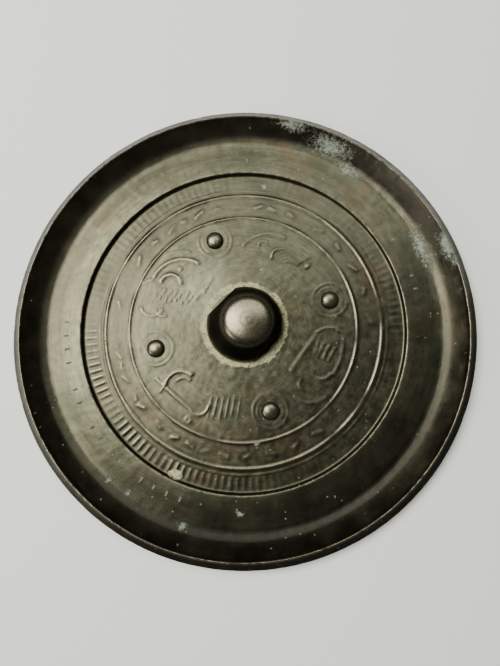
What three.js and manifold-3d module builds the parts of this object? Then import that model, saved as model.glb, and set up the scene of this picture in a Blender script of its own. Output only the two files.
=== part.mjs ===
// A cast bronze mirror lying on its polished face, with the decorated back up.
// Millimetres, +Z up. The origin is the middle of the polished face, on the surface it lies on.
// +X runs along the cord hole through the knob. Angles are degrees round +Z from +X.
import * as THREE from 'three';
import { mergeVertices } from 'three/addons/utils/BufferGeometryUtils.js';
import Module from 'manifold-3d';

// the disc and its rim
const RIM_RADIUS = 57.2;
const FACE_BEVEL = 0.5;
const RIM_EDGE_Z = 5.2;
const LIP_ROUND = 0.25;
const CREST_RADIUS = 54.9;
const CREST_WIDTH = 0.3;
const CREST_Z = 7.0;
const WALL_FOOT_RADIUS = 50.0;
const WALL_STEPS = 4;
const WALL_HOLLOW = 0.25;
const FLAT_RING_Z = 3.35;
const FIELD_Z = 2.4;
const STEP_RADIUS = 40.9;
const STEP_RUN = 0.8;
const ROUND_STEPS = 96;

// the three round lines: middle radius, width and height above the field
const COMB_LINE = { radius: 36.4, width: 0.6, height: 0.2 };
const OUTER_RIDGE = { radius: 34.95, width: 1.1, height: 0.4 };
const INNER_RIDGE = { radius: 28.85, width: 1.0, height: 0.35 };

// the ring of comb teeth
const COMB_TEETH = 141;
const COMB_INNER_RADIUS = 36.9;
const COMB_OUTER_RADIUS = 39.8;
const COMB_TOOTH_WIDTH = 0.9;
const COMB_TOOTH_HEIGHT = 0.28;
const COMB_PHASE = 1.8;

// the knob: a bun with a nearly flat crown and steep flanks, leaning a little, over a half-round cord hole
const KNOB_RADIUS = 9.8;
const KNOB_HEIGHT = 8.2;
const KNOB_CROWN = { radius: 4.8, drop: 0.45 };
const KNOB_SHOULDER = { radius: 6.6, drop: 1.75 };
const KNOB_WAIST = { radius: 8.4, drop: 4.4 };
const KNOB_OFFSET = 0.7;
const KNOB_LEAN = 0.14;
const HOLE_HALF_WIDTH = 5.1;
const HOLE_HEIGHT = 4.8;
const HOLE_SIDES = 20;
const KNOB_STEPS = 32;

// the field is laid out on axes turned this far from the cord hole: the nipples, beasts and band follow them
const LAYOUT_TURN = 45;

// the four nipples, each a small dome inside a low ring
const NIPPLE_RADIUS = 2.3;
const NIPPLE_HEIGHT = 1.5;
const NIPPLE_RING = { radius: 4.3, width: 0.8, height: 0.2 };
const NIPPLE_STEPS = 16;
const NIPPLES = [
  { radius: 23.1, angle: 16.8 },
  { radius: 23.8, angle: 107.8 },
  { radius: 22.6, angle: 194.3 },
  { radius: 22.2, angle: 288.1 },
];

// the raised strokes of the beasts: cross section, and how far one straight piece may turn
const STROKE_WIDTH = 1.1;
const STROKE_HEIGHT = 0.32;
const STROKE_TURN = 16;

// the worn band of short marks between the two ridges
const BAND_MARKS = 36;
const BAND_RADIUS = 32.0;
const BAND_MARK_LENGTH = 2.6;
const BAND_MARK_WIDTH = 1.1;
const BAND_MARK_HEIGHT = 0.22;

const SINK = 0.4;

const wasm = await Module();
wasm.setup();

function toSolid(geometry) {
  const bare = geometry.index ? geometry.toNonIndexed() : geometry.clone();
  bare.deleteAttribute('normal');
  bare.deleteAttribute('uv');
  const merged = mergeVertices(bare, 1e-4);
  const mesh = new wasm.Mesh({
    numProp: 3,
    vertProperties: new Float32Array(merged.attributes.position.array),
    triVerts: new Uint32Array(merged.index.array),
  });
  return new wasm.Manifold(mesh);
}

function toGeometry(solid) {
  const mesh = solid.getMesh();
  const geometry = new THREE.BufferGeometry();
  geometry.setAttribute('position', new THREE.BufferAttribute(new Float32Array(mesh.vertProperties), 3));
  geometry.setIndex(new THREE.BufferAttribute(new Uint32Array(mesh.triVerts), 1));
  geometry.computeVertexNormals();
  return geometry;
}

const rad = THREE.MathUtils.degToRad;

// a round body turned about +Z from a profile of [radius, height] points
function turned(profile, steps) {
  const points = profile.map(([r, z]) => new THREE.Vector2(r, z));
  const geometry = new THREE.LatheGeometry(points, steps);
  geometry.rotateX(Math.PI / 2);
  return geometry;
}

// the low ridge of a round line, from its outer foot to its inner foot
function ridgeProfile({ radius, width, height }, base) {
  return [
    [radius + width / 2, base],
    [radius + width / 6, base + height],
    [radius - width / 6, base + height],
    [radius - width / 2, base],
  ];
}

function wallProfile() {
  const points = [];
  const run = CREST_RADIUS - WALL_FOOT_RADIUS;
  const rise = CREST_Z - FLAT_RING_Z;
  for (let i = 1; i < WALL_STEPS; i += 1) {
    const t = 1 - i / WALL_STEPS;
    const lift = (1 - WALL_HOLLOW) * t + WALL_HOLLOW * t * t;
    points.push([WALL_FOOT_RADIUS + run * t, FLAT_RING_Z + rise * lift]);
  }
  return points;
}

// the disc from the middle of the polished face, round the rim and back to the middle of the field
function discSolid() {
  const profile = [
    [0, 0],
    [RIM_RADIUS - FACE_BEVEL, 0],
    [RIM_RADIUS, FACE_BEVEL],
    [RIM_RADIUS, RIM_EDGE_Z - LIP_ROUND],
    [RIM_RADIUS - LIP_ROUND, RIM_EDGE_Z + LIP_ROUND / 2],
    [CREST_RADIUS + CREST_WIDTH, CREST_Z],
    [CREST_RADIUS, CREST_Z],
    ...wallProfile(),
    [WALL_FOOT_RADIUS, FLAT_RING_Z],
    [STEP_RADIUS, FLAT_RING_Z],
    [STEP_RADIUS - STEP_RUN, FIELD_Z],
    ...ridgeProfile(COMB_LINE, FIELD_Z),
    ...ridgeProfile(OUTER_RIDGE, FIELD_Z),
    ...ridgeProfile(INNER_RIDGE, FIELD_Z),
    [0, FIELD_Z],
  ];
  return toSolid(turned(profile, ROUND_STEPS));
}

// one comb tooth: a three-sided bar lying along the radius
function toothSolid(angle) {
  const shape = new THREE.Shape();
  shape.moveTo(-COMB_TOOTH_WIDTH / 2, 0);
  shape.lineTo(0, -COMB_TOOTH_HEIGHT);
  shape.lineTo(COMB_TOOTH_WIDTH / 2, 0);
  shape.lineTo(0, COMB_TOOTH_HEIGHT);
  shape.closePath();
  const length = COMB_OUTER_RADIUS - COMB_INNER_RADIUS;
  const geometry = new THREE.ExtrudeGeometry(shape, { depth: length, bevelEnabled: false });
  geometry.rotateX(Math.PI / 2);
  geometry.translate(0, COMB_OUTER_RADIUS, FIELD_Z);
  geometry.rotateZ(rad(angle - 90));
  return toSolid(geometry);
}

function combSolid() {
  const teeth = [];
  for (let i = 0; i < COMB_TEETH; i += 1) {
    teeth.push(toothSolid(COMB_PHASE + (i * 360) / COMB_TEETH));
  }
  return wasm.Manifold.union(teeth);
}

// the knob's outline, from the field up to the middle of its crown
function knobProfile() {
  return [
    [KNOB_RADIUS, 0],
    [KNOB_RADIUS - 0.45, (KNOB_HEIGHT - KNOB_WAIST.drop) / 2],
    [KNOB_WAIST.radius, KNOB_HEIGHT - KNOB_WAIST.drop],
    [(KNOB_WAIST.radius + KNOB_SHOULDER.radius) / 2, KNOB_HEIGHT - 3.0],
    [KNOB_SHOULDER.radius, KNOB_HEIGHT - KNOB_SHOULDER.drop],
    [(KNOB_SHOULDER.radius + KNOB_CROWN.radius) / 2, KNOB_HEIGHT - 0.9],
    [KNOB_CROWN.radius, KNOB_HEIGHT - KNOB_CROWN.drop],
    [KNOB_CROWN.radius / 2, KNOB_HEIGHT - KNOB_CROWN.drop / 4],
    [0, KNOB_HEIGHT],
  ];
}

// the knob sunk a little into the field, with the half-round hole cut through it along X
function knobSolid() {
  const body = turned([[0, -SINK], [KNOB_RADIUS, -SINK], ...knobProfile()], KNOB_STEPS);
  const lean = KNOB_LEAN * Math.cos(rad(LAYOUT_TURN));
  const shear = new THREE.Matrix4().makeShear(0, 0, 0, 0, lean, lean);
  body.applyMatrix4(shear);
  body.translate(0, KNOB_OFFSET, FIELD_Z);
  const hole = new THREE.CylinderGeometry(HOLE_HALF_WIDTH, HOLE_HALF_WIDTH, 3 * KNOB_RADIUS, HOLE_SIDES);
  hole.rotateZ(Math.PI / 2);
  hole.scale(1, 1, HOLE_HEIGHT / HOLE_HALF_WIDTH);
  hole.translate(0, KNOB_OFFSET, FIELD_Z);
  return toSolid(body).subtract(toSolid(hole));
}

function nippleSolid({ radius, angle }) {
  const ring = NIPPLE_RING;
  const profile = [
    [0, -SINK],
    [ring.radius + ring.width / 2, -SINK],
    [ring.radius + ring.width / 2, 0],
    [ring.radius, ring.height],
    [ring.radius - ring.width / 2, 0],
    [NIPPLE_RADIUS, 0],
    [NIPPLE_RADIUS * 0.86, NIPPLE_HEIGHT * 0.55],
    [NIPPLE_RADIUS * 0.5, NIPPLE_HEIGHT * 0.9],
    [0, NIPPLE_HEIGHT],
  ];
  const geometry = turned(profile, NIPPLE_STEPS);
  geometry.translate(radius, 0, FIELD_Z);
  geometry.rotateZ(rad(angle + LAYOUT_TURN));
  return toSolid(geometry);
}

// a round arc lying level in the field, for a stroke to follow
class ArcPath extends THREE.Curve {
  constructor(x, y, radius, from, to) {
    super();
    this.x = x;
    this.y = y;
    this.radius = radius;
    this.from = rad(from);
    this.to = rad(to);
  }

  getPoint(t, target = new THREE.Vector3()) {
    const angle = this.from + (this.to - this.from) * t;
    const x = this.x + this.radius * Math.cos(angle);
    const y = this.y + this.radius * Math.sin(angle);
    return target.set(x, y, 0);
  }
}

// one raised stroke: a four-sided bar along its path, half of it sunk in the field
function strokeSolid(path, steps, width, height) {
  const shape = new THREE.Shape();
  shape.moveTo(-height, 0);
  shape.lineTo(0, -width / 2);
  shape.lineTo(height, 0);
  shape.lineTo(0, width / 2);
  shape.closePath();
  const geometry = new THREE.ExtrudeGeometry(shape, { steps, extrudePath: path, bevelEnabled: false });
  geometry.rotateZ(rad(LAYOUT_TURN));
  geometry.translate(0, 0, FIELD_Z);
  return toSolid(geometry);
}

function arcStroke(x, y, radius, from, to, width = STROKE_WIDTH, height = STROKE_HEIGHT) {
  const steps = Math.max(2, Math.round(Math.abs(to - from) / STROKE_TURN));
  return strokeSolid(new ArcPath(x, y, radius, from, to), steps, width, height);
}

function lineStroke(x1, y1, x2, y2, width = STROKE_WIDTH, height = STROKE_HEIGHT) {
  const path = new THREE.LineCurve3(new THREE.Vector3(x1, y1, 0), new THREE.Vector3(x2, y2, 0));
  return strokeSolid(path, 1, width, height);
}

// the first beast: a round back over an arched head, a curled foot and a coat of slanting hair strokes
function backedBeast() {
  const strokes = [
    arcStroke(-15.5, 9.5, 8.3, 62, 154),
    arcStroke(-15.5, 9.5, 10.3, 80, 116, 0.8, 0.2),
    arcStroke(-18.6, 11.0, 2.7, 10, 160, 1.3),
    arcStroke(-23.2, 5.8, 3.0, 200, 330),
  ];
  for (let i = 0; i < 4; i += 1) {
    const x = -22.8 + 2.3 * i;
    strokes.push(lineStroke(x, 6.6, x + 2.2, 9.6, 0.8, 0.2));
  }
  return strokes;
}

// the second: an arched head on a long straight flank that ends in a hook, a forked crest and tail strokes
function hookedBeast() {
  const strokes = [
    arcStroke(-15.3, -15.4, 4.1, 52, 172, 1.3),
    lineStroke(-19.5, -15.0, -13.0, -20.8),
    arcStroke(-10.8, -19.6, 2.4, 205, 350),
    lineStroke(-21.7, -13.0, -19.7, -14.9, 0.8),
  ];
  for (let i = 0; i < 4; i += 1) {
    const x = -7.2 + 2.3 * i;
    strokes.push(lineStroke(x, -18.0, x - 0.9, -22.4, 1.0, 0.2));
  }
  return strokes;
}

// the third: a winged beast, its wing a frame round three slanting plumes with a fringe of ticks above
function wingedBeast() {
  const strokes = [
    arcStroke(21.8, -5.2, 4.7, 46, 130),
    arcStroke(9.5, -3.3, 15.7, -34, 2),
    arcStroke(19.6, -10.6, 2.7, 218, 328),
    lineStroke(18.4, -2.2, 12.2, -11.0, 1.4, 0.25),
    arcStroke(16.8, -13.2, 5.9, 228, 308, 1.0, 0.25),
  ];
  for (let i = 0; i < 3; i += 1) {
    const x = 20.0 + 1.4 * i;
    const y = -3.6 - 0.8 * i;
    strokes.push(lineStroke(x, y, x - 1.8, y - 3.8, 0.9));
    strokes.push(lineStroke(x + 0.6, 0.8, x + 0.6, 2.0, 0.6, 0.2));
  }
  return strokes;
}

// the fourth: a bird, with a long neck arc, a hooked breast and fanned wing feathers
function fannedBird() {
  const strokes = [
    arcStroke(6.5, 16.5, 8.0, 60, 140),
    arcStroke(9.4, 18.4, 1.9, 95, 190),
    arcStroke(5.3, 21.3, 1.2, 30, 200, 0.8, 0.25),
  ];
  for (let i = 0; i < 4; i += 1) {
    strokes.push(arcStroke(11.5, 12.8, 7.6 - i, 44, 104, i === 0 ? STROKE_WIDTH : 0.7, 0.25));
  }
  return strokes;
}

// the worn band between the two ridges: short strokes in pairs that lean to and fro
function bandStrokes() {
  const strokes = [];
  for (let i = 0; i < BAND_MARKS; i += 1) {
    const angle = (i * 360) / BAND_MARKS;
    const lean = i % 2 === 0 ? 1 : -1;
    const half = BAND_MARK_LENGTH / 2;
    const from = new THREE.Vector3(BAND_RADIUS - lean * 0.5, -half, 0);
    const to = new THREE.Vector3(BAND_RADIUS + lean * 0.5, half, 0);
    from.applyAxisAngle(new THREE.Vector3(0, 0, 1), rad(angle));
    to.applyAxisAngle(new THREE.Vector3(0, 0, 1), rad(angle));
    strokes.push(lineStroke(from.x, from.y, to.x, to.y, BAND_MARK_WIDTH, BAND_MARK_HEIGHT));
  }
  return strokes;
}

function mirrorSolid() {
  return wasm.Manifold.union([
    discSolid(),
    combSolid(),
    knobSolid(),
    ...NIPPLES.map(nippleSolid),
    ...backedBeast(),
    ...hookedBeast(),
    ...wingedBeast(),
    ...fannedBird(),
    ...bandStrokes(),
  ]);
}

// dark olive-brown bronze with a dull grey-green skin
function bronze() {
  return new THREE.MeshStandardMaterial({ color: 0x5c5a48, roughness: 0.45, metalness: 0.85 });
}

function mirrorMesh() {
  const mesh = new THREE.Mesh(toGeometry(mirrorSolid()), bronze());
  mesh.name = 'mirror';
  return mesh;
}

const group = new THREE.Group();
group.name = 'ancient_bronze_mirror';
group.add(mirrorMesh());

export default group;
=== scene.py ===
from math import atan2, ceil, cos, pi, radians, sin

import bmesh
import bpy
import numpy as np
from mathutils import Matrix, Vector, noise


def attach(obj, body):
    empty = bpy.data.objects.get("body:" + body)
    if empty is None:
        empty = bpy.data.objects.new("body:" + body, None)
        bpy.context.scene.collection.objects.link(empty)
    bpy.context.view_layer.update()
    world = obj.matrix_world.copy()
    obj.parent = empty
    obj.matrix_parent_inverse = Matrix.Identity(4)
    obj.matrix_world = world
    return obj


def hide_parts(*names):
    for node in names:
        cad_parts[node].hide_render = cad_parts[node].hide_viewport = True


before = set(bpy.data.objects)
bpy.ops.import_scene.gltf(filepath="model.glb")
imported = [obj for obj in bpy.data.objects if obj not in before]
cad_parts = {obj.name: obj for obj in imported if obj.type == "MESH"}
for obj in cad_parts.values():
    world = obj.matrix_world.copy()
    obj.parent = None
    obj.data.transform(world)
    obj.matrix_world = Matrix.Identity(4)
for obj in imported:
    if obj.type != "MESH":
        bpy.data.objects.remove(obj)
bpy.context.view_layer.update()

# ---------------------------------------------------------------------------
# The disc: one bronze casting, poured face down, with a plain polished face
# below and a dished back. Its rim turns up to a sharp crest with a sloping lip
# outside, and was turned true on the bench after casting.
# ---------------------------------------------------------------------------
MM = 0.001
RIM_RADIUS = 57.2
RIM_EDGE_Z = 5.2
CREST_RADIUS = 54.95
CREST_Z = 7.0
WALL_FOOT_RADIUS = 50.0
WALL_HOLLOW = 0.22
FLAT_RING_Z = 3.35
STEP_RADIUS = 40.9
STEP_CURVE = [(0.6, 3.35), (0.25, 3.33), (0.05, 3.27), (-0.08, 3.14), (-0.18, 2.9), (-0.28, 2.65)]
STEP_CURVE += [(-0.42, 2.5), (-0.7, 2.42)]
FIELD_Z = 2.4
FIELD_ZONES = [(39.9, 36.9, 0.38), (36.9, 33.9, 0.25), (33.9, 29.7, 0.36), (29.7, 28.0, 0.2)]
FIELD_ZONES += [(28.0, 11.6, 0.42), (11.6, 10.0, 0.27)]
LAYOUT_TURN = radians(45)
ROUND_STEPS = 705


# radii from start up to, but not reaching, end, at about the given pitch
def even_rings(start, end, pitch):
    count = max(1, ceil(abs(start - end) / pitch))
    return [start + (end - start) * i / count for i in range(count)]


def wall_height(radius):
    t = (radius - WALL_FOOT_RADIUS) / (CREST_RADIUS - WALL_FOOT_RADIUS)
    rise = CREST_Z - FLAT_RING_Z
    return FLAT_RING_Z + rise * ((1 - WALL_HOLLOW) * t + WALL_HOLLOW * t * t)


def disc_profile():
    face = [(0, 0), (28, 0), (RIM_RADIUS - 0.6, 0), (RIM_RADIUS - 0.2, 0.15), (RIM_RADIUS, 0.5)]
    outside = [(RIM_RADIUS, 1.8), (RIM_RADIUS + 0.03, 3.4), (RIM_RADIUS, RIM_EDGE_Z - 0.35)]
    edge = [(RIM_RADIUS - 0.06, RIM_EDGE_Z - 0.08), (RIM_RADIUS - 0.28, RIM_EDGE_Z + 0.14)]
    lip = [(56.4, 5.72), (55.85, 6.2), (55.4, 6.62), (55.2, 6.86), (55.08, 6.97)]
    crest = [(CREST_RADIUS, CREST_Z), (CREST_RADIUS - 0.12, CREST_Z - 0.03)]
    wall = [(r, wall_height(r)) for r in even_rings(54.65, 50.9, 0.54)]
    foot = [(50.9, wall_height(50.9) + 0.05), (50.4, FLAT_RING_Z + 0.42), (49.9, FLAT_RING_Z + 0.23)]
    foot += [(49.4, FLAT_RING_Z + 0.1), (48.8, FLAT_RING_Z + 0.03), (48.0, FLAT_RING_Z)]
    ring = [(r, FLAT_RING_Z) for r in even_rings(47.0, 42.0, 0.95)]
    step = [(STEP_RADIUS + away, z) for away, z in STEP_CURVE]
    field = [(r, FIELD_Z) for zone in FIELD_ZONES for r in even_rings(*zone)]
    field += [(9.2, FIELD_Z), (5.0, FIELD_Z), (0, FIELD_Z)]
    return face + outside + edge + lip + crest + wall + foot + ring + step + field


def spun(bm, points, steps, axis, angle):
    verts = [bm.verts.new(p) for p in points]
    edges = [bm.edges.new(pair) for pair in zip(verts, verts[1:])]
    whole = abs(angle - 2 * pi) < 1e-6
    bmesh.ops.spin(
        bm, geom=verts + edges, cent=(0, 0, 0), axis=axis, angle=angle, steps=steps, use_merge=whole
    )


casting = bmesh.new()
spun(casting, [(r, 0, z) for r, z in disc_profile()], ROUND_STEPS, (0, 0, 1), 2 * pi)
bmesh.ops.remove_doubles(casting, verts=casting.verts, dist=0.004)
bmesh.ops.recalc_face_normals(casting, faces=casting.faces)

# ---------------------------------------------------------------------------
# The low relief: comb teeth, three round lines, the worn band, the four beasts
# and the nipples' rings. All of it came out of the clay mould in the one pour,
# soft at the edges, and years of handling have rubbed it down unevenly.
# ---------------------------------------------------------------------------
COMB_TEETH = 141
COMB_PHASE = radians(1.8)
COMB_INNER_RADIUS = 36.75
COMB_OUTER_RADIUS = 40.15
CRISPEST_COMB = 222
ROUND_LINES = [(36.4, 0.34, 0.06), (34.95, 0.62, 0.19), (28.85, 0.58, 0.16)]
STROKE_WEAR = 0.36
KNOB_OFFSET = 0.7
NIPPLE_RINGS = [(4.3, 0.5, 0.05), (3.2, 0.4, 0.03)]
NIPPLES = [(23.1, 16.8), (23.8, 107.8), (22.6, 194.3), (22.2, 288.1)]


def arc(x, y, radius, start, end, width=0.55, height=0.34):
    return ("arc", x, y, radius, radians(start), radians(end), width, height)


def line(x1, y1, x2, y2, width=0.45, height=0.3):
    return ("line", x1, y1, x2, y2, None, width, height)


def backed_beast():
    strokes = [
        arc(-15.5, 9.5, 8.3, 62, 154, 0.6, 0.42),
        arc(-15.5, 9.5, 10.3, 80, 116, 0.4, 0.2),
        arc(-18.6, 11.0, 2.7, 10, 160, 0.75, 0.45),
        arc(-23.2, 5.8, 3.0, 200, 330, 0.55, 0.32),
        arc(-20.4, 4.6, 1.9, 185, 300, 0.4, 0.25),
        line(-25.6, 11.6, -23.2, 12.4, 0.5, 0.25),
        arc(-16.2, 15.2, 0.25, 0, 300, 0.45, 0.25),
    ]
    for i in range(7):
        x = -23.4 + 1.5 * i
        lean = 0.4 * sin(2.1 * i)
        strokes.append(line(x, 6.4 + lean, x + 2.1, 10.2 - 0.25 * i, 0.32, 0.22))
    for i in range(4):
        strokes.append(line(-12.6 + 0.9 * i, 6.6 + 0.7 * i, -9.4 + 0.6 * i, 10.6 + 0.8 * i, 0.3, 0.14))
    return strokes


def hooked_beast():
    strokes = [
        arc(-15.3, -15.4, 4.1, 52, 172, 0.7, 0.45),
        arc(-14.6, -15.3, 2.4, 50, 130, 0.5, 0.26),
        line(-19.6, -15.0, -13.0, -20.6, 0.5, 0.34),
        arc(-10.8, -19.6, 2.4, 205, 350, 0.55, 0.34),
        line(-21.7, -13.0, -19.7, -14.9, 0.42, 0.32),
        line(-19.7, -14.9, -20.4, -16.4, 0.4, 0.3),
        arc(-13.4, -23.3, 0.6, 0, 350, 0.7, 0.25),
    ]
    for i in range(6):
        x = -7.6 + 1.45 * i
        strokes.append(line(x, -17.8 - 0.3 * sin(i), x - 0.9, -22.6 + 0.5 * sin(2 * i), 0.42, 0.1))
    return strokes


def winged_beast():
    strokes = [
        arc(21.8, -5.2, 4.7, 46, 130, 0.6, 0.42),
        arc(9.5, -3.3, 15.7, -34, 2, 0.5, 0.36),
        arc(19.6, -10.6, 2.7, 218, 328, 0.55, 0.36),
        line(18.6, -2.0, 12.2, -11.0, 0.9, 0.25),
        line(19.6, -2.2, 18.1, -7.0, 0.4, 0.25),
        arc(16.8, -13.2, 5.9, 228, 308, 0.6, 0.3),
        arc(15.4, -14.6, 1.4, 120, 300, 0.45, 0.2),
    ]
    for i in range(3):
        x = 20.4 + 1.35 * i
        y = -4.4 - 0.55 * i
        strokes.append(line(x, y, x - 1.7, y - 3.3, 0.38, 0.34))
    for i in range(5):
        x = 19.8 + 0.85 * i
        strokes.append(line(x, 0.7, x + 0.1, 1.9, 0.28, 0.22))
    return strokes


def fanned_bird():
    strokes = [
        arc(6.5, 16.5, 8.0, 58, 142, 0.6, 0.34),
        arc(9.4, 18.4, 1.9, 95, 190, 0.5, 0.3),
        arc(5.3, 21.3, 1.2, 30, 200, 0.4, 0.25),
        arc(16.6, 15.6, 0.3, 0, 300, 0.5, 0.4),
        line(1.6, 20.4, 4.4, 19.6, 0.5, 0.2),
    ]
    for i in range(5):
        height = 0.34 if i == 0 else 0.24
        strokes.append(arc(11.5, 12.8, 7.6 - 0.85 * i, 42 + 2 * i, 106 - 3 * i, 0.36, height))
    return strokes


def band_marks():
    angles = [76, 82.5, 67, 52, 40, 28, 16, 3, 101.5, 111, 119, 125.5, 135.5, 147, 160, 170]
    angles += [188.5, 193, 198, 204.5, 213.8, 218.5, 230, 239, 246.5, 253.5, 262, 272, 283, 294, 305]
    strokes = []
    for i, angle in enumerate(angles):
        a = radians(angle)
        lean = radians(angle + 90 + (26 if i % 2 else -18))
        x, y = 32.1 * cos(a), 32.1 * sin(a)
        half = 0.8 + 0.35 * sin(3.0 * i)
        strokes.append(
            line(x - half * cos(lean), y - half * sin(lean), x + half * cos(lean),
                 y + half * sin(lean), 0.75, 0.26)
        )
        if i % 3 == 0:
            strokes.append(arc(x * 0.975, y * 0.975, 1.1, angle - 60, angle + 70, 0.35, 0.16))
    return strokes


def stroke_distance(stroke, x, y):
    kind, a, b, c, d, e = stroke[:6]
    if kind == "line":
        ux, uy = c - a, d - b
        t = np.clip(((x - a) * ux + (y - b) * uy) / (ux * ux + uy * uy), 0, 1)
        return np.hypot(x - a - t * ux, y - b - t * uy)
    angle = np.mod(np.arctan2(y - b, x - a) - d, 2 * pi)
    on_arc = np.abs(np.hypot(x - a, y - b) - c)
    first = np.hypot(x - a - c * cos(d), y - b - c * sin(d))
    last = np.hypot(x - a - c * cos(e), y - b - c * sin(e))
    return np.where(angle <= e - d, on_arc, np.minimum(first, last))


# a soft ridge: 1 on its middle line, falling to 0 at the given distance
def swell(distance, width):
    return 0.5 + 0.5 * np.cos(pi * np.clip(distance / width, 0, 1))


def cloud(points, size, seed=0.0):
    shift = Vector((seed, 1.7 * seed, -0.6 * seed))
    return np.array([noise.noise(Vector(p) / size + shift) for p in points])


# the height of the relief at each point of the field, and how far the point lies in a hollow
# beside it
def field_relief(points):
    x0, y0 = points[:, 0], points[:, 1]
    turn_cos, turn_sin = cos(LAYOUT_TURN), sin(LAYOUT_TURN)
    x, y = x0 * turn_cos + y0 * turn_sin, y0 * turn_cos - x0 * turn_sin
    r = np.hypot(x, y)
    height = np.zeros(len(r))
    hollow = np.zeros(len(r))
    wear = np.clip(0.85 + 0.9 * cloud(points, 6.0, 3.0), 0.3, 1.15)

    def lay(where, distance, width, tall):
        height[where] = np.maximum(height[where], tall * swell(distance, width) * wear[where])
        skirt = swell(np.abs(distance - 1.25 * width), 0.9 * width) * wear[where]
        hollow[where] = np.maximum(hollow[where], skirt * min(1.0, tall / 0.12))

    everywhere = np.ones(len(r), bool)
    for radius, width, tall in ROUND_LINES:
        lay(everywhere, np.abs(r - radius), width, tall)
    angle = np.arctan2(y0, x0)
    across = np.abs(np.mod((angle - COMB_PHASE) * COMB_TEETH / (2 * pi) + 0.5, 1) - 0.5)
    along = np.clip(np.minimum(r - COMB_INNER_RADIUS, COMB_OUTER_RADIUS - r) / 0.35, 0, 1)
    from_crispest = np.mod(np.degrees(angle - LAYOUT_TURN) - CRISPEST_COMB + 180, 360) - 180
    crisp = swell(np.abs(from_crispest), 70)
    tooth = swell(across, 0.3) * along * wear
    height = np.maximum(height, (0.03 + 0.12 * crisp) * tooth)
    hollow = np.maximum(hollow, (0.25 + 0.75 * crisp) * (1 - swell(across, 0.34)) * along * wear)
    near = r < 34.6
    for stroke in backed_beast() + hooked_beast() + winged_beast() + fanned_bird() + band_marks():
        width, tall = stroke[6:]
        lay(near, stroke_distance(stroke, x[near], y[near]), width, STROKE_WEAR * tall)
    for radius, angle in NIPPLES:
        cx, cy = radius * cos(radians(angle)), radius * sin(radians(angle))
        distance = np.hypot(x - cx, y - cy)
        for ring_radius, width, tall in NIPPLE_RINGS:
            lay(everywhere, np.abs(distance - ring_radius), width, tall)
    hollow *= 1 - np.clip(height / 0.05, 0, 1)
    return height, hollow


# raises the relief, the crust round the knob, the dents and the ragged rim, and keeps two
# layers, raised and hollow, for the skin
def wear_down(bm):
    points = np.array([v.co[:] for v in bm.verts])
    r = np.hypot(points[:, 0], points[:, 1])
    back = (points[:, 2] > 2.2) & (r < 41.5)
    relief, hollow = np.zeros(len(points)), np.zeros(len(points))
    relief[back], hollow[back] = field_relief(points[back])
    inner = back & (r > 9.9) & (r < 12.0)
    off_middle = np.hypot(points[inner, 0], points[inner, 1] - KNOB_OFFSET)
    spread = 0.55 + 0.5 * cloud(points[inner], 2.2, 8.0)
    crust = 0.2 * swell(np.maximum(off_middle - 9.9, 0), 0.35 + spread)
    crumbs = np.clip(0.8 + 1.0 * cloud(points[inner], 0.9, 5.0), 0.2, 1.5)
    points[inner, 2] += crust * crumbs
    top = points[:, 2] > 2.2
    dents = 0.02 * cloud(points[top], 1.4, 1.0) + 0.03 * cloud(points[top], 4.0, 2.0)
    points[:, 2] += relief
    points[top, 2] += dents
    rim = (r > 54.0) & (points[:, 2] > 4.5)
    ragged = 0.10 * cloud(points[rim], 1.3, 4.0) + 0.12 * cloud(points[rim], 5.0, 6.0)
    points[rim, 2] += np.minimum(ragged, 0.02)
    raised_layer = bm.verts.layers.float.new("raised")
    hollow_layer = bm.verts.layers.float.new("hollow")
    for v, p, tall, deep in zip(bm.verts, points, relief, hollow):
        v.co = p
        v[raised_layer] = tall
        v[hollow_layer] = deep


wear_down(casting)

# ---------------------------------------------------------------------------
# The knob: a bun cast on the middle of the back, its crown worn nearly flat and
# its flanks steep. A half-round hole runs through it for the cord, and the
# hole's mouths cut the base straight.
# ---------------------------------------------------------------------------
KNOB_RADIUS = 9.8
KNOB_OUTLINE = [(9.8, 0), (9.62, 1.0), (9.3, 2.1), (8.9, 3.0), (8.4, 3.9), (7.85, 4.75), (7.3, 5.45)]
KNOB_OUTLINE += [(6.85, 6.1), (6.5, 6.6), (6.15, 7.02), (5.75, 7.36), (5.3, 7.6), (4.8, 7.75)]
KNOB_OUTLINE += [(4.0, 7.89), (3.0, 8.03), (1.6, 8.15), (0, 8.2)]
KNOB_LEAN = 0.14
HOLE_HALF_WIDTH = 5.1


# the knob's outside and the wall of its hole, as distances along the hole and away from its middle line
def knob_section():
    reach = (KNOB_RADIUS**2 - HOLE_HALF_WIDTH**2) ** 0.5
    tip = atan2(HOLE_HALF_WIDTH, reach)
    steps = 48
    outside = []
    for i in range(1, steps):
        a = tip + (pi - 2 * tip) * i / steps
        outside.append((KNOB_RADIUS * cos(a), KNOB_RADIUS * sin(a)))
    mouth = [(reach, HOLE_HALF_WIDTH + 0.05), (reach - 0.06, HOLE_HALF_WIDTH + 0.2)]
    inside = [(-reach + 0.05, HOLE_HALF_WIDTH)]
    inside += [(-reach + 2 * reach * i / 8, HOLE_HALF_WIDTH - 0.1) for i in range(1, 8)]
    inside += [(reach - 0.05, HOLE_HALF_WIDTH)]
    far_mouth = [(-x, r) for x, r in reversed(mouth)]
    return mouth + outside + far_mouth + inside


# how far the knob's surface is from the middle of its base, at a given rise above the field
def knob_reach(rise):
    rises = [atan2(z, r) for r, z in KNOB_OUTLINE]
    return float(np.interp(rise, rises, [(r * r + z * z) ** 0.5 for r, z in KNOB_OUTLINE]))


def join_on(whole, part):
    bmesh.ops.remove_doubles(part, verts=part.verts, dist=0.002)
    bmesh.ops.recalc_face_normals(part, faces=part.faces)
    rough = bpy.data.meshes.new("rough")
    part.to_mesh(rough)
    part.free()
    whole.from_mesh(rough)
    bpy.data.meshes.remove(rough)


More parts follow.
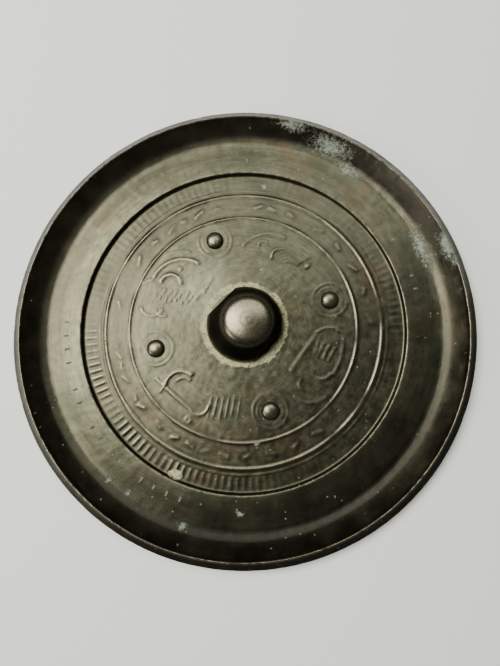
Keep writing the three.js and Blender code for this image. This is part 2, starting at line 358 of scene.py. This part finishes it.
def knob_shell():
    knob = bmesh.new()
    tilt = radians(4)
    ring = [(x, r * cos(tilt), -r * sin(tilt)) for x, r in knob_section()]
    ring.append(ring[0])
    spun(knob, ring, 72, (1, 0, 0), pi + 2 * tilt)
    lean_x, lean_y = KNOB_LEAN * cos(LAYOUT_TURN), KNOB_LEAN * sin(LAYOUT_TURN)
    for v in knob.verts:
        rise = atan2(max(v.co.z, 0), (v.co.x**2 + v.co.y**2) ** 0.5)
        x, y, z = v.co * knob_reach(rise) / KNOB_RADIUS
        v.co = (x + lean_x * max(z, 0), y + lean_y * max(z, 0) + KNOB_OFFSET, z + FIELD_Z)
    return knob


join_on(casting, knob_shell())

# ---------------------------------------------------------------------------
# The four nipples: small round domes cast on the field between the beasts,
# rubbed bright on top.
# ---------------------------------------------------------------------------
NIPPLE_RADIUS = 2.25
NIPPLE_HEIGHT = 1.35


def nipple_shell(radius, angle):
    nipple = bmesh.new()
    section = [(0, NIPPLE_HEIGHT)]
    for i in range(1, 10):
        a = pi / 2 * i / 9
        section.append((NIPPLE_RADIUS * sin(a), NIPPLE_HEIGHT * cos(a) ** 0.62))
    section += [(NIPPLE_RADIUS + 0.12, -0.08), (NIPPLE_RADIUS + 0.4, -0.3)]
    spun(nipple, [(r, 0, z) for r, z in section], 36, (0, 0, 1), 2 * pi)
    a = radians(angle) + LAYOUT_TURN
    away = (radius * cos(a), radius * sin(a), FIELD_Z + 0.03)
    bmesh.ops.translate(nipple, vec=away, verts=nipple.verts)
    return nipple


for radius, angle in NIPPLES:
    join_on(casting, nipple_shell(radius, angle))

bmesh.ops.scale(casting, vec=(MM, MM, MM), verts=casting.verts)
mesh = bpy.data.meshes.new("mirror_casting")
casting.to_mesh(mesh)
casting.free()
mesh.polygons.foreach_set("use_smooth", [True] * len(mesh.polygons))
mirror = bpy.data.objects.new("mirror_casting", mesh)
bpy.context.scene.collection.objects.link(mirror)
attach(mirror, "root")
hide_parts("mirror")

# ---------------------------------------------------------------------------
# The bronze skin: high-tin bronze gone dark olive brown, with a dull grey-green
# film on the field and the flat ring, pale earth in the hollows, verdigris on
# one side of the dish, and every edge that a hand meets rubbed smooth.
# ---------------------------------------------------------------------------
skin = bpy.data.materials.new("patinated_bronze")
skin.use_nodes = True
tree = skin.node_tree
tree.nodes.clear()


def add(kind, inputs=(), **settings):
    made = tree.nodes.new("ShaderNode" + kind)
    for name, value in settings.items():
        setattr(made, name, value)
    for key, value in dict(inputs).items():
        if hasattr(value, "links"):
            tree.links.new(value, made.inputs[key])
        else:
            made.inputs[key].default_value = value
    return made


def calc(operation, first, second=0.0, third=0.0):
    return add("Math", {0: first, 1: second, 2: third}, operation=operation).outputs[0]


def product(*values):
    total = values[0]
    for value in values[1:]:
        total = calc("MULTIPLY", total, value)
    return total


def most(*values):
    total = values[0]
    for value in values[1:]:
        total = calc("MAXIMUM", total, value)
    return total


def rest_of(value):
    return calc("SUBTRACT", 1.0, value)


def ramp(value, low, high, out_low=0.0, out_high=1.0):
    inputs = {"Value": value, "From Min": low, "From Max": high}
    inputs.update({"To Min": out_low, "To Max": out_high})
    return add("MapRange", inputs, interpolation_type="SMOOTHSTEP").outputs[0]


def between(value, low, high, soft):
    return product(ramp(value, low - soft, low + soft), ramp(value, high + soft, high - soft))


def tone(red, green, blue):
    return (red, green, blue, 1.0)


def blend(factor, first, second):
    return add("Mix", {0: factor, 6: first, 7: second}, data_type="RGBA").outputs[2]


def moved(vector, scale):
    return add("VectorMath", {0: vector, "Scale": scale}, operation="SCALE").outputs[0]


millimetres = moved(add("TexCoord").outputs["Object"], 1000.0)
layout_turn = {"Vector": millimetres, "Angle": -LAYOUT_TURN}
layout = add("VectorRotate", layout_turn, rotation_type="Z_AXIS").outputs[0]
along = add("SeparateXYZ", {"Vector": layout})
east, north, height = along.outputs[0], along.outputs[1], along.outputs[2]
flat = add("CombineXYZ", {"X": east, "Y": north}).outputs[0]
radius = add("VectorMath", {0: flat}, operation="LENGTH").outputs["Value"]
outward = add("VectorMath", {0: flat}, operation="NORMALIZE").outputs[0]
raised = add("Attribute", attribute_name="raised").outputs["Fac"]
hollow = add("Attribute", attribute_name="hollow").outputs["Fac"]


def grain(scale, detail=4.0, rough=0.55, vector=None, seed=0.0):
    inputs = {"Vector": vector or layout, "Scale": scale, "Detail": detail, "Roughness": rough}
    inputs["W"] = seed
    return add("TexNoise", inputs, noise_dimensions="4D").outputs["Fac"]


def swirl(around, across):
    rings = add("CombineXYZ", {"Z": calc("MULTIPLY", radius, across)}).outputs[0]
    return add("VectorMath", {0: moved(outward, around), 1: rings}, operation="ADD").outputs[0]


def facing(azimuth, spread):
    toward = (cos(radians(azimuth)), sin(radians(azimuth)), 0)
    same = add("VectorMath", {0: outward, 1: toward}, operation="DOT_PRODUCT").outputs["Value"]
    return ramp(same, cos(radians(spread)), cos(radians(spread * 0.25)))


def patch(x, y, length, width, turn=0.0):
    inputs = {"Vector": flat, "Location": (x, y, 0), "Rotation": (0, 0, radians(turn))}
    inputs["Scale"] = (length, width, 1)
    inside = add("Mapping", inputs, vector_type="TEXTURE").outputs[0]
    return add("VectorMath", {0: inside}, operation="LENGTH").outputs["Value"]


def flecks(scale, size, share, seed=0.0):
    shifted = add("VectorMath", {0: flat, 1: (seed, 2 * seed, 0)}, operation="ADD").outputs[0]
    cells = add("TexVoronoi", {"Vector": shifted, "Scale": scale}, voronoi_dimensions="2D")
    luck = add("SeparateColor", {"Color": cells.outputs["Color"]}).outputs[0]
    spot = ramp(cells.outputs["Distance"], size * scale, 0.5 * size * scale)
    return product(spot, ramp(luck, 1.0 - share, 1.02 - share))


# clouds from broad to fine, and two that follow the lathe
broad = grain(0.045, 3, 0.5)
patchy = grain(0.16, 5, 0.6, seed=1.0)
mottle = grain(0.6, 5, 0.6, seed=2.0)
fine = grain(2.2, 4, 0.6, seed=3.0)
brushed = grain(1.0, 4, 0.65, swirl(9.0, 2.6))
hazy = grain(1.0, 3, 0.6, swirl(3.0, 0.7), seed=4.0)

# masks: 1 on the named place and 0 elsewhere
on_top = ramp(height, 1.9, 2.2)
on_field = ramp(radius, STEP_RADIUS + 0.3, STEP_RADIUS - 0.2)
on_wall = ramp(radius, WALL_FOOT_RADIUS - 0.4, WALL_FOOT_RADIUS + 1.4)
on_knob = product(ramp(height, 2.9, 3.6), ramp(radius, 13, 12))
on_crown = product(on_knob, ramp(height, 8.2, 9.4))
on_nipple = product(ramp(height, 2.9, 3.5), between(radius, 18.0, 28.0, 0.2))

# the dark bronze and the film over it, thinner on the wall; where the film is thinned in the hollows
# beside the relief, on the lower side, in bands on the left and at the wall's foot, the dark bronze
# showing through is painted shade
dark_bronze = blend(ramp(patchy, 0.35, 0.65), tone(0.018, 0.015, 0.009), tone(0.032, 0.028, 0.016))
film = blend(ramp(mottle, 0.3, 0.7), tone(0.049, 0.047, 0.027), tone(0.083, 0.079, 0.049))
film = blend(ramp(brushed, 0.42, 0.72, 0.0, 0.55), film, tone(0.122, 0.115, 0.075))
greenish = product(ramp(grain(0.07, 4, 0.6, seed=5.0), 0.48, 0.62), 0.6)
film = blend(greenish, film, tone(0.037, 0.044, 0.025))
coppery = product(ramp(grain(0.09, 4, 0.6, seed=6.0), 0.52, 0.66), 0.6)
film = blend(coppery, film, tone(0.073, 0.052, 0.028))

film_amount = product(ramp(hazy, 0.25, 0.6, 0.55, 1.0), ramp(broad, 0.3, 0.6, 0.75, 1.0))
film_amount = product(film_amount, rest_of(on_wall), rest_of(on_knob), on_top)
# film thinned in the hollows beside the relief and between the comb's teeth: painted shade
film_amount = product(film_amount, rest_of(product(hollow, 0.55)))
# darker toward the lower side of the flat ring and the wall's foot: painted shade, the dark bronze
# showing through a thinned film
painted_shade_lower_side = product(facing(285, 75), ramp(radius, 38.0, 49.5))
film_amount = product(film_amount, rest_of(product(painted_shade_lower_side, 0.72)))
# bands on the left side with the film thinned to darker bronze: painted shade
painted_shade_bands = most(between(radius, 30.0, 40.9, 0.8), ramp(radius, 44.0, 47.0))
film_amount = product(film_amount, rest_of(product(facing(170, 80), painted_shade_bands, 0.45)))
handled = ramp(patch(-9.5, 9.0, 10.0, 7.0, 45), 1.3, 0.3)
film = blend(product(handled, 0.7), film, tone(0.137, 0.133, 0.089))
metal = blend(film_amount, dark_bronze, film)
# near-black at the foot of the wall on the lower side: painted shade
painted_shade_wall_foot = product(facing(292, 85), between(radius, 48.4, 51.4, 0.6))
metal = blend(product(painted_shade_wall_foot, 0.75), metal, tone(0.004, 0.0035, 0.002))

# rubbed bronze on the crest, the step's edge, the tops of the relief, the knob's crown and the nipples
crest = product(between(radius, CREST_RADIUS - 0.2, CREST_RADIUS + 0.3, 0.15), ramp(mottle, 0.3, 0.5))
step_edge = product(between(radius, STEP_RADIUS + 0.1, STEP_RADIUS + 0.45, 0.15), ramp(mottle, 0.4, 0.6))
worn = most(
    product(crest, 0.8),
    product(step_edge, 0.55),
    product(ramp(raised, 0.03, 0.12), ramp(fine, 0.3, 0.6, 0.25, 0.75), on_field),
    product(on_crown, ramp(fine, 0.3, 0.55, 0.7, 0.95)),
    product(on_nipple, 0.7),
)
metal = blend(worn, metal, tone(0.159, 0.141, 0.095))

# verdigris, as patches: middle, half length, half width and turn
VERDIGRIS = [(23.0, 47.0, 9.0, 3.4, 155), (13.0, 52.6, 6.0, 2.0, 166), (27.5, 41.0, 5.5, 2.6, 140)]
VERDIGRIS += [(45.4, 19.8, 9.5, 3.0, 111), (50.8, 19.0, 9.0, 2.2, 111), (-14.1, -47.9, 2.0, 1.6, 20)]
VERDIGRIS += [(-32.0, -37.5, 1.6, 1.0, 30), (-27.3, -40.4, 1.4, 0.9, 30), (5.6, 37.6, 2.2, 1.5, 100)]
VERDIGRIS += [(4.8, 14.8, 1.4, 1.0, 0), (3.5, -29.0, 1.3, 1.0, 0), (-0.4, -45.1, 1.4, 1.0, 0)]
verdigris_place = most(*[rest_of(patch(*where)) for where in VERDIGRIS])
spotty = grain(1.5, 6, 0.75, seed=7.0)
spread = calc("ADD", calc("MULTIPLY", verdigris_place, 0.33), calc("SUBTRACT", spotty, 0.615))
verdigris = product(ramp(spread, 0.0, 0.20), 0.85, on_top)

# pale earth caked round the knob, and one yellow clump on the comb
off_knob = patch(0.5, 0.5, 1.0, 1.0)
crumbling = calc("SUBTRACT", off_knob, calc("MULTIPLY", calc("SUBTRACT", mottle, 0.5), 2.4))
earth_ring = product(between(crumbling, 9.0, 11.0, 0.25), ramp(fine, 0.33, 0.48), rest_of(on_knob))
earth_ring = product(earth_ring, ramp(patchy, 0.3, 0.5, 0.35, 1.0))
yellow_clump = product(ramp(patch(-16.2, -36.2, 2.0, 1.3, 160), 1.0, 0.7), ramp(mottle, 0.4, 0.5))
earth = product(most(earth_ring, yellow_clump), on_top)

# short ticks struck along the radius on the flat ring: some are packed pale, some dark, most are gone
TICKS = 80
TICK_START = 3.0
tick_turn = calc("ARCTAN2", north, east)
tick_number = calc("MULTIPLY", tick_turn, TICKS / (2 * pi))
tick_number = calc("SUBTRACT", tick_number, TICK_START * TICKS / 360)
tick_across = calc("SUBTRACT", calc("FRACT", calc("ADD", tick_number, 0.5)), 0.5)
tick_luck = add("TexWhiteNoise", {"W": calc("ROUND", tick_number)}, noise_dimensions="1D")
tick_luck = tick_luck.outputs["Value"]
tick_width = ramp(fine, 0.3, 0.6, 0.03, 0.09)
tick = ramp(calc("ABSOLUTE", tick_across), tick_width, product(tick_width, 0.5))
tick = product(tick, between(calc("ADD", radius, product(fine, 0.8)), 44.4, 45.4, 0.2))
pale_tick = product(tick, facing(248, 30), ramp(tick_luck, 0.2, 0.3))
dark_tick = product(tick, facing(198, 30), ramp(tick_luck, 0.1, 0.2))
lone_tick = product(tick, facing(55, 95), ramp(tick_luck, 0.75, 0.8))

# loose pale flecks
pale_fleck = product(flecks(0.6, 0.26, 0.10, 3.0), ramp(fine, 0.35, 0.6), rest_of(on_knob), on_top)
pale_fleck = product(pale_fleck, ramp(grain(0.06, 2, seed=8.0), 0.45, 0.6, 0.15, 1.0))
dull = most(pale_tick, lone_tick, pale_fleck)

colour = blend(product(dark_tick, 0.8), metal, tone(0.012, 0.010, 0.007))
colour = blend(product(dull, 0.8), colour, tone(0.24, 0.23, 0.15))
colour = blend(verdigris, colour, blend(spotty, tone(0.09, 0.11, 0.075), tone(0.50, 0.55, 0.43)))
colour = blend(earth, colour, blend(mottle, tone(0.34, 0.31, 0.15), tone(0.64, 0.61, 0.36)))

# what is covered is no metal, and the crusty upper wall is half dull
covered = most(verdigris, earth, product(dull, 0.8))
crusty = product(on_wall, facing(110, 110), on_top)
metallic = product(rest_of(covered), ramp(crusty, 0.0, 1.0, 0.85, 0.62))
metallic = most(metallic, worn)
roughness = ramp(patchy, 0.3, 0.7, 0.27, 0.34)
roughness = blend(on_field, roughness, ramp(mottle, 0.3, 0.7, 0.28, 0.37))
roughness = blend(worn, roughness, tone(0.26, 0.26, 0.26))
roughness = blend(covered, roughness, tone(0.85, 0.85, 0.85))

# the fine texture, as heights in millimetres
texture = product(calc("SUBTRACT", mottle, 0.5), 0.022)
texture = calc("ADD", texture, product(calc("SUBTRACT", fine, 0.5), 0.010))
texture = calc("ADD", texture, product(calc("SUBTRACT", brushed, 0.5), 0.014, rest_of(on_knob)))
texture = calc("ADD", texture, product(covered, spotty, 0.10))
texture = calc("SUBTRACT", texture, product(dark_tick, 0.05))
bump = add("Bump", {"Strength": 1.0, "Distance": MM, "Height": texture})

# the lower side of the lip takes no sheen: its darkened edge tint is painted shade
painted_shade_lower_lip = product(ramp(radius, 54.9, 55.3), facing(300, 100))
edge_tint = blend(painted_shade_lower_lip, tone(1, 1, 1), tone(0.12, 0.12, 0.12))
surface = {"Base Color": colour, "Metallic": metallic, "Roughness": roughness}
surface["Specular Tint"] = edge_tint
bsdf = add("BsdfPrincipled", surface)
tree.links.new(bump.outputs[0], bsdf.inputs["Normal"])
add("OutputMaterial", {"Surface": bsdf.outputs[0]})
mesh.materials.append(skin)

# ---------------------------------------------------------------------------
# The table top, the lights and the camera. Nothing here is part of the mirror.
# ---------------------------------------------------------------------------
bpy.ops.mesh.primitive_plane_add(size=3, location=(0, 0, 0))
table_top = bpy.context.object
table_top.name = "table_top"
paper = bpy.data.materials.new("white_table")
paper.use_nodes = True
paper.node_tree.nodes["Principled BSDF"].inputs["Base Color"].default_value = (0.96, 0.96, 0.915, 1)
paper.node_tree.nodes["Principled BSDF"].inputs["Roughness"].default_value = 0.7
table_top.data.materials.append(paper)


def soft_light(name, x, y, z, width, tall, glow, colour, azimuth=0.0, tip=0.0):
    data = bpy.data.lights.new(name, "AREA")
    data.shape = "RECTANGLE"
    data.size, data.size_y = width, tall
    data.energy = glow * pi * width * tall
    data.color = colour
    lamp = bpy.data.objects.new(name, data)
    lamp.location = Matrix.Rotation(LAYOUT_TURN, 3, "Z") @ Vector((x, y, z))
    lamp.rotation_euler = (0, radians(tip), LAYOUT_TURN + radians(azimuth))
    bpy.context.scene.collection.objects.link(lamp)


soft_light("window", -0.40, 0.16, 0.8, 0.48, 0.44, 16.5, (1.0, 1.0, 0.94))
soft_light("sky", 0.06, 0.40, 0.8, 0.52, 0.32, 5.2, (0.96, 1.0, 0.97))
soft_light("low_side", -0.75, -0.38, 0.58, 0.3, 0.35, 7.0, (1.0, 0.98, 0.96), 27, -58)

world = bpy.data.worlds.new("studio")
world.use_nodes = True
world.node_tree.nodes["Background"].inputs["Color"].default_value = (0.95, 0.97, 1.0, 1)
world.node_tree.nodes["Background"].inputs["Strength"].default_value = 0.03
bpy.context.scene.world = world

turn = Matrix.Rotation(LAYOUT_TURN, 3, "Z")
looking = turn @ Vector((-0.028, 0.1508, -0.9882)).normalized()
upward = turn @ Vector((0.0043, 0.9886, 0.1508))
sideways = looking.cross(upward).normalized()
upward = sideways.cross(looking)
camera_data = bpy.data.cameras.new("camera")
camera_data.lens = 24.97
camera_data.sensor_width = 36
camera_data.clip_start = 0.005
camera = bpy.data.objects.new("camera", camera_data)
camera.location = turn @ Vector((5.15, -19.27, 117.56)) * MM
camera.rotation_euler = Matrix((sideways, upward, -looking)).transposed().to_euler()
bpy.context.scene.collection.objects.link(camera)
bpy.context.scene.camera = camera
